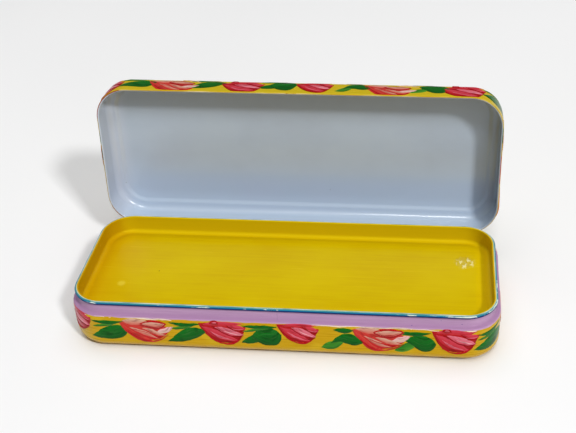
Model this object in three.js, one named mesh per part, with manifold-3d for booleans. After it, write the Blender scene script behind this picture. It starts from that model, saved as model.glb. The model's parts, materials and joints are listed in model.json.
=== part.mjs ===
// A hinged tinplate pencil case, standing open: a deep base with a rolled rim, a shallow
// lift-out tray, and a lid that turns on two stamped hinges at the back.
//
// Units are millimetres and +Z is up. X runs along the case, -Y is the front and +Y is the
// hinge side. The origin is the centre of the face that the case rests on. The lid is drawn
// shut and then turned open about the hinge axis.

import * as THREE from 'three';
import { mergeVertices } from 'three/addons/utils/BufferGeometryUtils.js';
import Module from 'manifold-3d';

const wasm = await Module();
wasm.setup();

// ---- driving dimensions -------------------------------------------------------------

const SHEET = 0.3; // tinplate thickness
const CORNER_SEGMENTS = 8; // facets in each rounded corner, seen from above

// Base.
const BODY = { length: 200, width: 74.2, corner: 16.5 };
const BOTTOM_EMBOSS = 0.5; // how far the bottom panel stands proud, to rest on
const BOTTOM_PANEL_INSET = 8.6; // from the body's outside to the edge of that panel
const BOTTOM_FILLET = 5.3; // outside radius where the wall meets the bottom
const SHOULDER_Z = 20.0; // ledge that the shut lid comes down to
const SHOULDER_ROUND = 0.4;
const RIM_Z = 26.0; // top of the rolled rim
const BEAD_RADIUS = 0.7; // the rolled rim's own radius
const BEAD_INSET = 1.5; // from the body's outside to the outside of the rolled rim

// Tray.
const TRAY_CLEARANCE = 0.1; // sideways, inside the neck
const TRAY_REST_GAP = 0.02; // between the tray's lip and the rim it rests on
const TRAY_DEPTH = 8.5; // lip top to the lowest part of the floor
const TRAY_FILLET = 1.5; // inside radius where its wall meets its floor
const TRAY_LIP_REACH = 0.7; // how far the lip reaches out over the rim
const TRAY_PANEL_RISE = 0.6; // the floor's middle panel is raised for stiffness
const TRAY_CHANNEL = 1.5; // flat channel between the fillet and that panel

// Lid, in its shut place.
const LID_PROUD = 0.5; // how far the lid's skirt stands outside the body, each side
const LID_CORNER = 16.0;
const LID_LIFT = 0.2; // gap between the skirt's edge and the shoulder
const LID_DEPTH = 15.8; // skirt's edge to the outside of the top
const LID_FILLET = 3.6; // outside radius where the skirt meets the top
const LID_PANEL_INSET = 4.1; // from the lid's outside to the foot of the raised top panel
const LID_PANEL_RISE = 1.2;
const LID_PANEL_SLOPE = 2.6; // width that this panel's sloping side takes
const HEM_RADIUS = 0.55; // the skirt's edge is curled inwards to this radius

// The other pressed panels' sloping sides take this much width.
const PANEL_SLOPE = 0.6;

// Hinges.
const HINGE_X = 58; // centre of each hinge from the middle of the case
const OPEN_ANGLE = THREE.MathUtils.degToRad(95);
const LEAF = 0.4; // hinge sheet thickness
const LEAF_WIDTH = 26;
const LEAF_WALL_GAP = 0.05; // between a leaf and the wall it is welded to
const KNUCKLE_OUTER = 1.15;
const HINGE_AXIS = { y: BODY.width / 2 + LEAF_WALL_GAP + KNUCKLE_OUTER, z: 16.0 };
const KNUCKLE_INNER = KNUCKLE_OUTER - LEAF;
const KNUCKLE_WRAP = THREE.MathUtils.degToRad(285); // how far the curl goes round the pin
const MIDDLE_KNUCKLE = 11; // width of the lid leaf's knuckle
const KNUCKLE_GAP = 0.25; // end play between knuckles
const KNUCKLE_CLEARANCE = 0.35; // from a knuckle to the other leaf's plate
const BASE_LEAF_HEIGHT = 9.5; // below the hinge axis
const LID_LEAF_HEIGHT = 12; // above the hinge axis
const JOGGLE = { start: 3.3, end: 4.0 }; // heights where the lid leaf steps out
const PIN_RADIUS = 0.7;
const PIN_HEAD_RADIUS = 1.0;
const PIN_HEAD_THICKNESS = 0.5;
const PIN_HEAD_GAP = 0.1;

// ---- colours -------------------------------------------------------------------------

function enamel(colour, roughness) {
  return new THREE.MeshStandardMaterial({ color: colour, roughness, metalness: 0.1 });
}

const yellowEnamel = enamel(0xd7a71e, 0.35);
const trayEnamel = enamel(0xd8b010, 0.4);
const lidLacquer = enamel(0x9ca6b2, 0.25);
const tinplate = new THREE.MeshStandardMaterial({ color: 0xb4b2a8, roughness: 0.35, metalness: 0.9 });

// ---- shells swept round a rounded rectangle ------------------------------------------

// Points of a rounded rectangle, anticlockwise from above, moved inwards by inset.
function outlinePoints(plan, inset) {
  const radius = plan.corner - inset;
  const cornerX = plan.length / 2 - plan.corner;
  const cornerY = plan.width / 2 - plan.corner;
  const points = [];
  const corners = [[1, 1], [-1, 1], [-1, -1], [1, -1]];
  corners.forEach(([signX, signY], quarter) => {
    for (let step = 0; step <= CORNER_SEGMENTS; step += 1) {
      const angle = (quarter + step / CORNER_SEGMENTS) * (Math.PI / 2);
      points.push([
        signX * cornerX + radius * Math.cos(angle),
        signY * cornerY + radius * Math.sin(angle),
      ]);
    }
  });
  return points;
}

// A closed pressed-sheet shell. The profile is a list of [inset, z] that runs from the middle
// of the downward face, over the edge of the sheet, to the middle of the upward face.
function sweptShell(plan, profile) {
  const rings = profile.map(([inset, z]) => outlinePoints(plan, inset).map(([x, y]) => [x, y, z]));
  const count = rings[0].length;
  const index = [];
  for (let ring = 0; ring + 1 < rings.length; ring += 1) {
    for (let i = 0; i < count; i += 1) {
      const next = (i + 1) % count;
      const a = ring * count + i;
      const b = ring * count + next;
      index.push(a, b, b + count, a, b + count, a + count);
    }
  }
  const last = (rings.length - 1) * count;
  for (let i = 1; i + 1 < count; i += 1) {
    index.push(0, i + 1, i);
    index.push(last, last + i, last + i + 1);
  }
  const geometry = new THREE.BufferGeometry();
  geometry.setAttribute('position', new THREE.Float32BufferAttribute(rings.flat(2), 3));
  geometry.setIndex(index);
  geometry.computeVertexNormals();
  return geometry;
}

// Points on an arc in the profile's own plane; angles are in degrees from the inset axis.
function arc(inset, z, radius, from, to, segments) {
  const points = [];
  for (let step = 0; step <= segments; step += 1) {
    const angle = THREE.MathUtils.degToRad(from + ((to - from) * step) / segments);
    points.push([inset + radius * Math.cos(angle), z + radius * Math.sin(angle)]);
  }
  return points;
}

function baseShell() {
  const wallFoot = BOTTOM_EMBOSS + BOTTOM_FILLET;
  const beadCentre = BEAD_INSET + BEAD_RADIUS;
  const neckInside = BEAD_INSET + 2 * BEAD_RADIUS;
  const neckOutside = neckInside - SHEET;
  const beadZ = RIM_Z - BEAD_RADIUS;
  const beadStart = -THREE.MathUtils.radToDeg(Math.acos((neckOutside - beadCentre) / BEAD_RADIUS));
  return sweptShell(BODY, [
    [BOTTOM_PANEL_INSET + PANEL_SLOPE, 0],
    [BOTTOM_PANEL_INSET, BOTTOM_EMBOSS],
    ...arc(BOTTOM_FILLET, wallFoot, BOTTOM_FILLET, 270, 180, 6),
    [0, SHOULDER_Z - SHOULDER_ROUND],
    [SHOULDER_ROUND, SHOULDER_Z],
    [neckOutside, SHOULDER_Z],
    ...arc(beadCentre, beadZ, BEAD_RADIUS, beadStart, -90, 1),
    ...arc(beadCentre, beadZ, BEAD_RADIUS, -120, -360, 8),
    [neckInside, SHOULDER_Z - SHEET],
    [SHOULDER_ROUND + SHEET, SHOULDER_Z - SHEET],
    [SHEET, SHOULDER_Z - SHEET - SHOULDER_ROUND],
    ...arc(BOTTOM_FILLET, wallFoot, BOTTOM_FILLET - SHEET, 180, 270, 6),
    [BOTTOM_PANEL_INSET, BOTTOM_EMBOSS + SHEET],
    [BOTTOM_PANEL_INSET + PANEL_SLOPE, SHEET],
  ]);
}

function innerTray() {
  const wallOutside = BEAD_INSET + 2 * BEAD_RADIUS + TRAY_CLEARANCE;
  const wallInside = wallOutside + SHEET;
  const lipUnder = RIM_Z + TRAY_REST_GAP;
  const lipTop = lipUnder + SHEET;
  const lipTip = wallOutside - TRAY_LIP_REACH;
  const channelZ = lipTop - TRAY_DEPTH;
  const filletInset = wallInside + TRAY_FILLET;
  const filletZ = channelZ + TRAY_FILLET;
  const panelInset = filletInset + TRAY_CHANNEL;
  return sweptShell(BODY, [
    [panelInset + PANEL_SLOPE, channelZ + TRAY_PANEL_RISE - SHEET],
    [panelInset, channelZ - SHEET],
    ...arc(filletInset, filletZ, TRAY_FILLET + SHEET, 270, 180, 4),
    [wallOutside, lipUnder],
    [lipTip, lipUnder],
    [lipTip - SHEET / 3, lipUnder + SHEET / 2],
    [lipTip, lipTop],
    [wallOutside, lipTop],
    [wallInside, lipUnder],
    ...arc(filletInset, filletZ, TRAY_FILLET, 180, 270, 4),
    [panelInset, channelZ],
    [panelInset + PANEL_SLOPE, channelZ + TRAY_PANEL_RISE],
  ]);
}

function lidShell() {
  const plan = {
    length: BODY.length + 2 * LID_PROUD,
    width: BODY.width + 2 * LID_PROUD,
    corner: LID_CORNER,
  };
  const edgeZ = SHOULDER_Z + LID_LIFT;
  const topZ = edgeZ + LID_DEPTH;
  const filletZ = topZ - LID_FILLET;
  const hemZ = edgeZ + HEM_RADIUS;
  const hemStart = THREE.MathUtils.radToDeg(Math.acos((SHEET - HEM_RADIUS) / HEM_RADIUS));
  return sweptShell(plan, [
    [LID_PANEL_INSET + LID_PANEL_SLOPE, topZ + LID_PANEL_RISE - SHEET],
    [LID_PANEL_INSET, topZ - SHEET],
    ...arc(LID_FILLET, filletZ, LID_FILLET - SHEET, 90, 180, 6),
    ...arc(HEM_RADIUS, hemZ, HEM_RADIUS, hemStart, -180, 8),
    ...arc(LID_FILLET, filletZ, LID_FILLET, 180, 90, 6),
    [LID_PANEL_INSET, topZ],
    [LID_PANEL_INSET + LID_PANEL_SLOPE, topZ + LID_PANEL_RISE],
  ]);
}

// ---- hinges ----------------------------------------------------------------------------

function toSolid(geometry) {
  const bare = geometry.clone();
  bare.deleteAttribute('normal');
  bare.deleteAttribute('uv');
  const merged = mergeVertices(bare);
  return new wasm.Manifold(new wasm.Mesh({
    numProp: 3,
    vertProperties: new Float32Array(merged.attributes.position.array),
    triVerts: new Uint32Array(merged.index.array),
  }));
}

function toGeometry(solid) {
  const mesh = solid.getMesh();
  const geometry = new THREE.BufferGeometry();
  geometry.setAttribute('position', new THREE.BufferAttribute(mesh.vertProperties, 3));
  geometry.setIndex(new THREE.BufferAttribute(mesh.triVerts, 1));
  geometry.computeVertexNormals();
  return geometry;
}

// Extrudes a shape drawn in (y, z) about the hinge axis, centred along X on the hinge.
function extrudeAlongX(shape, width) {
  const geometry = new THREE.ExtrudeGeometry(shape, {
    depth: width,
    bevelEnabled: false,
    curveSegments: 16,
  });
  geometry.translate(0, 0, -width / 2);
  const axes = new THREE.Matrix4().makeBasis(
    new THREE.Vector3(0, 1, 0),
    new THREE.Vector3(0, 0, 1),
    new THREE.Vector3(1, 0, 0),
  );
  geometry.applyMatrix4(axes);
  return geometry;
}

function boxAt(width, low, high) {
  const geometry = new THREE.BoxGeometry(width, high.y - low.y, high.z - low.z);
  geometry.translate(0, (high.y + low.y) / 2, (high.z + low.z) / 2);
  return geometry;
}

// A leaf seen end on: a strip of sheet that starts as a curl round the pin and leaves it as a
// plate on the body's side. side is -1 for a plate that hangs down and 1 for one that stands
// up; steps lists the plate's [height, outward shift] corners after it leaves the curl.
function leafShape(side, steps) {
  const tail = Math.PI + side * KNUCKLE_WRAP;
  const shape = new THREE.Shape();
  shape.moveTo(-KNUCKLE_OUTER, 0);
  steps.forEach(([height, shift]) => shape.lineTo(shift - KNUCKLE_OUTER, side * height));
  [...steps].reverse().forEach(([height, shift]) => {
    shape.lineTo(shift - KNUCKLE_INNER, side * height);
  });
  shape.lineTo(-KNUCKLE_INNER, 0);
  shape.absarc(0, 0, KNUCKLE_INNER, Math.PI, tail, side < 0);
  shape.absarc(0, 0, KNUCKLE_OUTER, tail, Math.PI, side > 0);
  return shape;
}

function baseLeaf() {
  const plate = toSolid(extrudeAlongX(leafShape(-1, [[BASE_LEAF_HEIGHT, 0]]), LEAF_WIDTH));
  const reach = KNUCKLE_OUTER + KNUCKLE_CLEARANCE;
  const notch = toSolid(boxAt(
    MIDDLE_KNUCKLE + 2 * KNUCKLE_GAP,
    { y: -reach, z: -reach },
    { y: reach, z: reach },
  ));
  return toGeometry(plate.subtract(notch));
}

function lidLeaf() {
  const shift = LID_PROUD;
  const steps = [[JOGGLE.start, 0], [JOGGLE.end, shift], [LID_LEAF_HEIGHT, shift]];
  const plate = toSolid(extrudeAlongX(leafShape(1, steps), LEAF_WIDTH));
  const reach = KNUCKLE_OUTER + KNUCKLE_CLEARANCE;
  const sideWidth = (LEAF_WIDTH - MIDDLE_KNUCKLE) / 2 + 1;
  const offset = MIDDLE_KNUCKLE / 2 + sideWidth / 2;
  const cuts = [-offset, offset].map((x) => {
    const box = boxAt(sideWidth, { y: -reach, z: -reach }, { y: reach, z: reach });
    box.translate(x, 0, 0);
    return toSolid(box);
  });
  return toGeometry(plate.subtract(cuts[0]).subtract(cuts[1]));
}

// A straight wire pin whose two ends are headed over.
function hingePin() {
  const headInside = LEAF_WIDTH / 2 + PIN_HEAD_GAP;
  const end = headInside + PIN_HEAD_THICKNESS;
  const profile = [
    [0, -end],
    [PIN_HEAD_RADIUS * 0.7, -end],
    [PIN_HEAD_RADIUS, -end + PIN_HEAD_THICKNESS / 2],
    [PIN_HEAD_RADIUS, -headInside],
    [PIN_RADIUS, -headInside],
    [PIN_RADIUS, headInside],
    [PIN_HEAD_RADIUS, headInside],
    [PIN_HEAD_RADIUS, end - PIN_HEAD_THICKNESS / 2],
    [PIN_HEAD_RADIUS * 0.7, end],
    [0, end],
  ].map(([x, y]) => new THREE.Vector2(x, y));
  const geometry = new THREE.LatheGeometry(profile, 24);
  geometry.rotateZ(-Math.PI / 2);
  return geometry;
}

// ---- assembly ----------------------------------------------------------------------------

function node(name, geometry, material) {
  const mesh = new THREE.Mesh(geometry, material);
  mesh.name = name;
  return mesh;
}

const pencilCase = new THREE.Group();
pencilCase.add(node('base_shell', baseShell(), yellowEnamel));
pencilCase.add(node('inner_tray', innerTray(), trayEnamel));

// Everything in lidGroup is placed about the hinge axis and turned open with it.
const lidGroup = new THREE.Group();
lidGroup.position.set(0, HINGE_AXIS.y, HINGE_AXIS.z);
lidGroup.rotation.x = -OPEN_ANGLE;
pencilCase.add(lidGroup);

const lid = node('lid_shell', lidShell(), lidLacquer);
lid.position.set(0, -HINGE_AXIS.y, -HINGE_AXIS.z);
lidGroup.add(lid);

for (const [side, x] of [['left', -HINGE_X], ['right', HINGE_X]]) {
  const fixedLeaf = node(`hinge_${side}_base_leaf`, baseLeaf(), tinplate);
  fixedLeaf.position.set(x, HINGE_AXIS.y, HINGE_AXIS.z);
  pencilCase.add(fixedLeaf);

  const pin = node(`hinge_${side}_pin`, hingePin(), tinplate);
  pin.position.set(x, HINGE_AXIS.y, HINGE_AXIS.z);
  pencilCase.add(pin);

  const movingLeaf = node(`hinge_${side}_lid_leaf`, lidLeaf(), tinplate);
  movingLeaf.position.set(x, 0, 0);
  lidGroup.add(movingLeaf);
}

export default pencilCase;
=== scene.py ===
"""A hand-painted tin pencil case standing open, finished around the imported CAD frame.

The shells are rebuilt as fine pressed-sheet meshes, and the painted roses and leaves are thin raised
strokes that follow the walls. Lengths are in millimetres until a mesh is written, which is in metres.
Anything on the lid is drawn shut and then turned open about the hinge axis.

Materials read three point attributes, all in millimetres: "wrap" is (distance round the plan, distance
along the sheet's profile, inset), "shut" is the point's place with the lid shut, and "stroke" is
(distance along a brush stroke, distance across it, the stroke's own number).
"""

import json
import math
import random

import bmesh
import bpy
from mathutils import Matrix, Vector, noise


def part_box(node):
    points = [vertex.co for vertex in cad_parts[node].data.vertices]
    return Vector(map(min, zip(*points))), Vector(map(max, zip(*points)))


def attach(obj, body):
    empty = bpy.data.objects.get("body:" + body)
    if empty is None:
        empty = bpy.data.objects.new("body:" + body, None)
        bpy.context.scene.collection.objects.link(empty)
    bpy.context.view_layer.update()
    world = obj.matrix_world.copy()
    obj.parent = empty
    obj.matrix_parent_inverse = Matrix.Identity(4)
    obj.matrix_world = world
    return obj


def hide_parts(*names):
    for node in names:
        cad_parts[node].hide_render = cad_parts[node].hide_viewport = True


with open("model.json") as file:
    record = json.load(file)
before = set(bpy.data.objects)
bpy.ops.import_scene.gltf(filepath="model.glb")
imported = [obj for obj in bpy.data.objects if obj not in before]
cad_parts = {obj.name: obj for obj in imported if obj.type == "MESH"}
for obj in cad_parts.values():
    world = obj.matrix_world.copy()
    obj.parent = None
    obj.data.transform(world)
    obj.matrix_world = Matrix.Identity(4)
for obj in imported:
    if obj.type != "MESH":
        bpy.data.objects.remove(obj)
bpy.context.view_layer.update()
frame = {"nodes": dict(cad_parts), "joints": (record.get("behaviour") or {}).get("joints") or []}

MM = 0.001
noise.seed_set(3)  # without this the wobble of the painted strokes would differ from run to run

# ---- driving sizes, in millimetres ------------------------------------------------------------

base_low, base_high = (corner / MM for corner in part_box("base_shell"))
tray_top_z = (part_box("inner_tray")[1] / MM).z
lid_low, lid_high = (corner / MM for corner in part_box("lid_shell"))
lid_hinge = next(joint for joint in frame["joints"] if joint["name"] == "lid_hinge")
hinge_leaves = [name for name in frame["nodes"] if name.endswith("_leaf")]

SHEET = 0.3
BODY_LENGTH = base_high.x - base_low.x
BODY_WIDTH = base_high.y - base_low.y
BODY_CORNER = 16.5
RIM_Z = base_high.z

BOTTOM_EMBOSS = 0.5  # how far the bottom's pressed panel stands below the rest of it
BOTTOM_PANEL_INSET = 8.6
BOTTOM_FILLET = 5.3
SHOULDER_Z = 20.0  # where the lid's edge comes to rest
SHOULDER_ROUND = 0.8
NECK_ROUND = 1.6
BEAD_RADIUS = 0.7  # the rim, rolled outward
BEAD_INSET = 1.5
NECK_INSIDE = BEAD_INSET + 2 * BEAD_RADIUS

TRAY_CLEARANCE = 0.1
TRAY_LIP_REACH = 0.7
LIP_PALE_WIDTH = 0.3
TRAY_DEPTH = 8.5
TRAY_FILLET = 1.5
TRAY_CHANNEL = 1.5  # flat ground between the walls' fillet and the floor's panel
TRAY_PANEL_RISE = 0.6

LID_PROUD = (lid_high.x - lid_low.x - BODY_LENGTH) / 2
LID_CORNER = 16.0
LID_EDGE_Z = SHOULDER_Z + 0.2
LID_DEPTH = 15.8
LID_FILLET = 3.6
LID_PANEL_INSET = 4.1
LID_PANEL_RISE = 1.2
LID_PANEL_SLOPE = 2.6
HEM_RADIUS = 0.55
HEM_CREST = (-95, -140)  # degrees: the part of the curled hem that shows its own paint

PANEL_SLOPE = 0.6
PANEL_RIPPLE = 0.07  # how far a hand-pressed panel wanders from flat
RIPPLE_FADE = 10.0  # width at a panel's edge over which it comes back to flat
RIPPLE_SPAN = (42.0, 24.0)

BOTTOM_ROUND_Z = BOTTOM_EMBOSS + BOTTOM_FILLET
SHOULDER_ROUND_Z = SHOULDER_Z - SHOULDER_ROUND
LID_TOP_Z = LID_EDGE_Z + LID_DEPTH
LID_ROUND_Z = LID_TOP_Z - LID_FILLET

MERGE_DISTANCE = 1e-7  # metres
SHARP_ANGLE = math.radians(50)

# ---- placing ------------------------------------------------------------------------------------

hinge_axis = Vector(lid_hinge["pos_m"]) / MM
open_angle = -math.radians(lid_hinge["range_deg"][0])
OPEN_LID = (
    Matrix.Translation(hinge_axis)
    @ Matrix.Rotation(-open_angle, 4, "X")
    @ Matrix.Translation(-hinge_axis)
)
UNMOVED = Matrix.Identity(4)


class Plan:
    """A rounded rectangle seen from above, walked anticlockwise from the middle of its front."""

    CORNER_STEPS = 14
    STRAIGHT_STEP = 6.0

    def __init__(self, length, width, corner):
        self.corner = corner
        self.half_x = length / 2 - corner
        self.half_y = width / 2 - corner
        a, b = self.half_x, self.half_y
        turns = [(0, -b), (a, -b), (a, b), (-a, b), (-a, -b), (0, -b)]
        self.pieces = []  # (length, first core point, last core point, normal angle, turn)
        for leg in range(5):
            start, end = Vector(turns[leg]), Vector(turns[leg + 1])
            angle = math.radians(90 * leg - 90)
            self.pieces.append(((end - start).length, start, end, angle, 0.0))
            if leg < 4:
                self.pieces.append((corner * math.pi / 2, end, end, angle, math.pi / 2))
        self.perimeter = sum(piece[0] for piece in self.pieces)

    def at(self, distance):
        """The core point and outward normal at a distance round the outline."""
        distance %= self.perimeter
        for length, start, end, angle, turn in self.pieces:
            if distance <= length:
                part = distance / length
                angle += turn * part
                return start.lerp(end, part), Vector((math.cos(angle), math.sin(angle)))
            distance -= length
        return self.at(0.0)

    def point(self, core, normal, inset):
        """Where that part of the outline is once the outline has shrunk by inset."""
        deep = max(0.0, inset - self.corner)
        x = core.x * (self.half_x - deep) / self.half_x
        y = core.y * (self.half_y - deep) / self.half_y
        return Vector((x, y)) + normal * max(0.0, self.corner - inset)

    def stations(self):
        """(distance, core point, normal) wherever a ring of vertices has a point."""
        found, distance = [], 0.0
        for length, start, end, angle, turn in self.pieces:
            halves = 1 if start.x == 0 or end.x == 0 else 2
            straight_steps = halves * math.ceil(length / halves / self.STRAIGHT_STEP)
            steps = self.CORNER_STEPS if turn else straight_steps
            for step in range(steps):
                part = step / steps
                normal_angle = angle + turn * part
                normal = Vector((math.cos(normal_angle), math.sin(normal_angle)))
                found.append((distance + length * part, start.lerp(end, part), normal))
            distance += length
        return found


body_plan = Plan(BODY_LENGTH, BODY_WIDTH, BODY_CORNER)
lid_plan = Plan(BODY_LENGTH + 2 * LID_PROUD, BODY_WIDTH + 2 * LID_PROUD, LID_CORNER)

# ---- pressed shells -------------------------------------------------------------------------------


def arc(inset, z, radius, start, end, steps, slot):
    """Profile points on a round; angles in degrees, from the direction of growing inset."""
    points = []
    for step in range(steps + 1):
        angle = math.radians(start + (end - start) * step / steps)
        points.append((inset + radius * math.cos(angle), z + radius * math.sin(angle), slot))
    return points


def panel_rings(plan, inset, z, slot):
    """Profile points from a panel's edge to the line along its middle."""
    reach = plan.half_y + plan.corner
    steps = math.ceil((reach - inset) / Plan.STRAIGHT_STEP)
    return [(inset + (reach - inset) * step / steps, z, slot) for step in range(steps + 1)]


def ripple(x, y, depth_in):
    """The slight waviness of a pressed panel, fading out at its edge."""
    fade = min(1.0, max(0.0, (depth_in - BOTTOM_PANEL_INSET) / RIPPLE_FADE))
    return PANEL_RIPPLE * fade * noise.noise(Vector((x / RIPPLE_SPAN[0], y / RIPPLE_SPAN[1], 3.7)))


def set_vectors(mesh, name, vectors):
    layer = mesh.attributes.new(name, "FLOAT_VECTOR", "POINT")
    layer.data.foreach_set("vector", [value for vector in vectors for value in vector])


def finish_mesh(name, verts, faces, slots, materials, place, vectors, paints=()):
    """Writes a mesh in metres with its materials, point attributes and smooth shading."""
    mesh = bpy.data.meshes.new(name)
    mesh.from_pydata([(place @ Vector(v)) * MM for v in verts], [], faces)
    for material in materials:
        mesh.materials.append(material)
    mesh.polygons.foreach_set("material_index", slots)
    for layer, values in vectors.items():
        set_vectors(mesh, layer, values)
    if paints:
        layer = mesh.attributes.new("paint", "FLOAT_COLOR", "POINT")
        layer.data.foreach_set("color", [value for paint in paints for value in paint])
    shaped = bmesh.new()
    shaped.from_mesh(mesh)
    bmesh.ops.remove_doubles(shaped, verts=shaped.verts, dist=MERGE_DISTANCE)
    shaped.to_mesh(mesh)
    shaped.free()
    mesh.shade_smooth()
    mesh.set_sharp_from_angle(angle=SHARP_ANGLE)
    piece = bpy.data.objects.new(name, mesh)
    bpy.context.scene.collection.objects.link(piece)
    return piece


def pressed_shell(name, plan, profile, materials, place):
    """Sweeps a closed sheet profile of (inset, z, slot) round a plan, from the middle of its
    downward face, over the edge of the sheet, to the middle of its upward face."""
    first, last = profile[0], profile[-1]
    start_cap = panel_rings(plan, first[0], first[1], first[2])[:0:-1]
    end_cap = panel_rings(plan, *last)[1:]
    rings = start_cap + profile + end_cap
    stations = plan.stations()
    verts, wraps, shut = [], [], []
    along = 0.0
    for index, (inset, z, _) in enumerate(rings):
        if index:
            along += math.hypot(inset - rings[index - 1][0], z - rings[index - 1][1])
        for distance, core, normal in stations:
            x, y = plan.point(core, normal, inset)
            spot = (x, y, z + ripple(x, y, inset))
            verts.append(spot)
            shut.append(spot)
            wraps.append((distance, along, inset))
    count = len(stations)
    faces, slots = [], []
    for ring in range(len(rings) - 1):
        for i in range(count):
            a, b = ring * count + i, ring * count + (i + 1) % count
            faces.append((a, b, b + count, a + count))
            slots.append(rings[ring][2])
    return finish_mesh(name, verts, faces, slots, materials, place, {"wrap": wraps, "shut": shut})


def sloping_side(inset, low, high, width, steps, slot):
    """Profile points up an S-shaped pressed side, from its foot to the panel's edge."""
    points = []
    for step in range(steps + 1):
        part = step / steps
        rise = (1 - math.cos(math.pi * part)) / 2
        points.append((inset + width * part, low + (high - low) * rise, slot))
    return points


def base_profile():
    outside, neck, bead, inside = 0, 1, 2, 3
    foot = BOTTOM_ROUND_Z
    bead_z = RIM_Z - BEAD_RADIUS
    bead_middle = BEAD_INSET + BEAD_RADIUS
    neck_outside = NECK_INSIDE - SHEET
    bead_start = -math.degrees(math.acos((neck_outside - bead_middle) / BEAD_RADIUS))
    shoulder = SHOULDER_ROUND
    panel = BOTTOM_PANEL_INSET
    return (
        [(panel + PANEL_SLOPE, 0.0, outside), (panel, BOTTOM_EMBOSS, outside)]
        + arc(BOTTOM_FILLET, foot, BOTTOM_FILLET, 270, 180, 10, outside)
        + [(0.0, foot + (SHOULDER_Z - foot) * part, outside) for part in (0.35, 0.7)]
        + arc(shoulder, SHOULDER_Z - shoulder, shoulder, 180, 90, 6, outside)
        + arc(neck_outside - NECK_ROUND, SHOULDER_Z + NECK_ROUND, NECK_ROUND, 270, 360, 4, neck)
        + arc(bead_middle, bead_z, BEAD_RADIUS, bead_start, -360, 22, bead)
        + [(NECK_INSIDE, bead_z - 0.01, inside), (NECK_INSIDE, SHOULDER_Z - SHEET, inside)]
        + arc(shoulder + SHEET, SHOULDER_Z - SHEET - shoulder, shoulder, 90, 180, 4, inside)
        + arc(BOTTOM_FILLET, foot, BOTTOM_FILLET - SHEET, 180, 270, 10, inside)
        + [(panel, BOTTOM_EMBOSS + SHEET, inside), (panel + PANEL_SLOPE, SHEET, inside)]
    )


def tray_profile():
    under, lip, inside = 0, 1, 2
    wall_outside = NECK_INSIDE + TRAY_CLEARANCE
    wall_inside = wall_outside + SHEET
    lip_top = tray_top_z
    lip_under = lip_top - SHEET
    lip_tip = wall_outside - TRAY_LIP_REACH
    channel_z = lip_top - TRAY_DEPTH
    fillet_inset = wall_inside + TRAY_FILLET
    fillet_z = channel_z + TRAY_FILLET
    panel = fillet_inset + TRAY_CHANNEL
    panel_z = channel_z + TRAY_PANEL_RISE
    return (
        [(panel + PANEL_SLOPE, panel_z - SHEET, under), (panel, channel_z - SHEET, under)]
        + arc(fillet_inset, fillet_z, TRAY_FILLET + SHEET, 270, 180, 8, under)
        + [(wall_outside, lip_under, lip)]
        + arc(lip_tip, lip_under + SHEET / 2, SHEET / 2, 270, 90, 6, lip)
        + [(lip_tip + LIP_PALE_WIDTH, lip_top, inside)]
        + arc(wall_inside - SHEET, lip_under, SHEET, 90, 0, 4, inside)
        + [(wall_inside, lip_under - 0.2, inside)]
        + arc(fillet_inset, fillet_z, TRAY_FILLET, 180, 270, 8, inside)
        + [(panel, channel_z, inside), (panel + PANEL_SLOPE, panel_z, inside)]
    )


def lid_profile():
    inside, hem, outside = 0, 1, 2
    crest_start, crest_end = HEM_CREST
    top_z = LID_TOP_Z
    panel_z = top_z + LID_PANEL_RISE
    fillet_z = LID_ROUND_Z
    hem_z = LID_EDGE_Z + HEM_RADIUS
    hem_start = math.degrees(math.acos((SHEET - HEM_RADIUS) / HEM_RADIUS))
    return (
        sloping_side(LID_PANEL_INSET, top_z - SHEET, panel_z - SHEET, LID_PANEL_SLOPE, 8, inside)[::-1]
        + arc(LID_FILLET, fillet_z, LID_FILLET - SHEET, 90, 180, 10, inside)
        + arc(HEM_RADIUS, hem_z, HEM_RADIUS, hem_start, crest_start, 12, inside)
        + arc(HEM_RADIUS, hem_z, HEM_RADIUS, crest_start, crest_end, 4, hem)
        + arc(HEM_RADIUS, hem_z, HEM_RADIUS, crest_end, -180, 4, outside)
        + [(0.0, hem_z + 1.0, outside)]
        + arc(LID_FILLET, fillet_z, LID_FILLET, 180, 90, 10, outside)
        + sloping_side(LID_PANEL_INSET, top_z, panel_z, LID_PANEL_SLOPE, 8, outside)
    )


# ---- shader building blocks -------------------------------------------------------------------------


def colour(red, green, blue):
    """A linear colour with alpha from screen values of 0 to 255."""
    linear = []
    for value in (red, green, blue):
        part = value / 255
        linear.append(part / 12.92 if part <= 0.04045 else ((part + 0.055) / 1.055) ** 2.4)
    return (*linear, 1.0)


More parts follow.
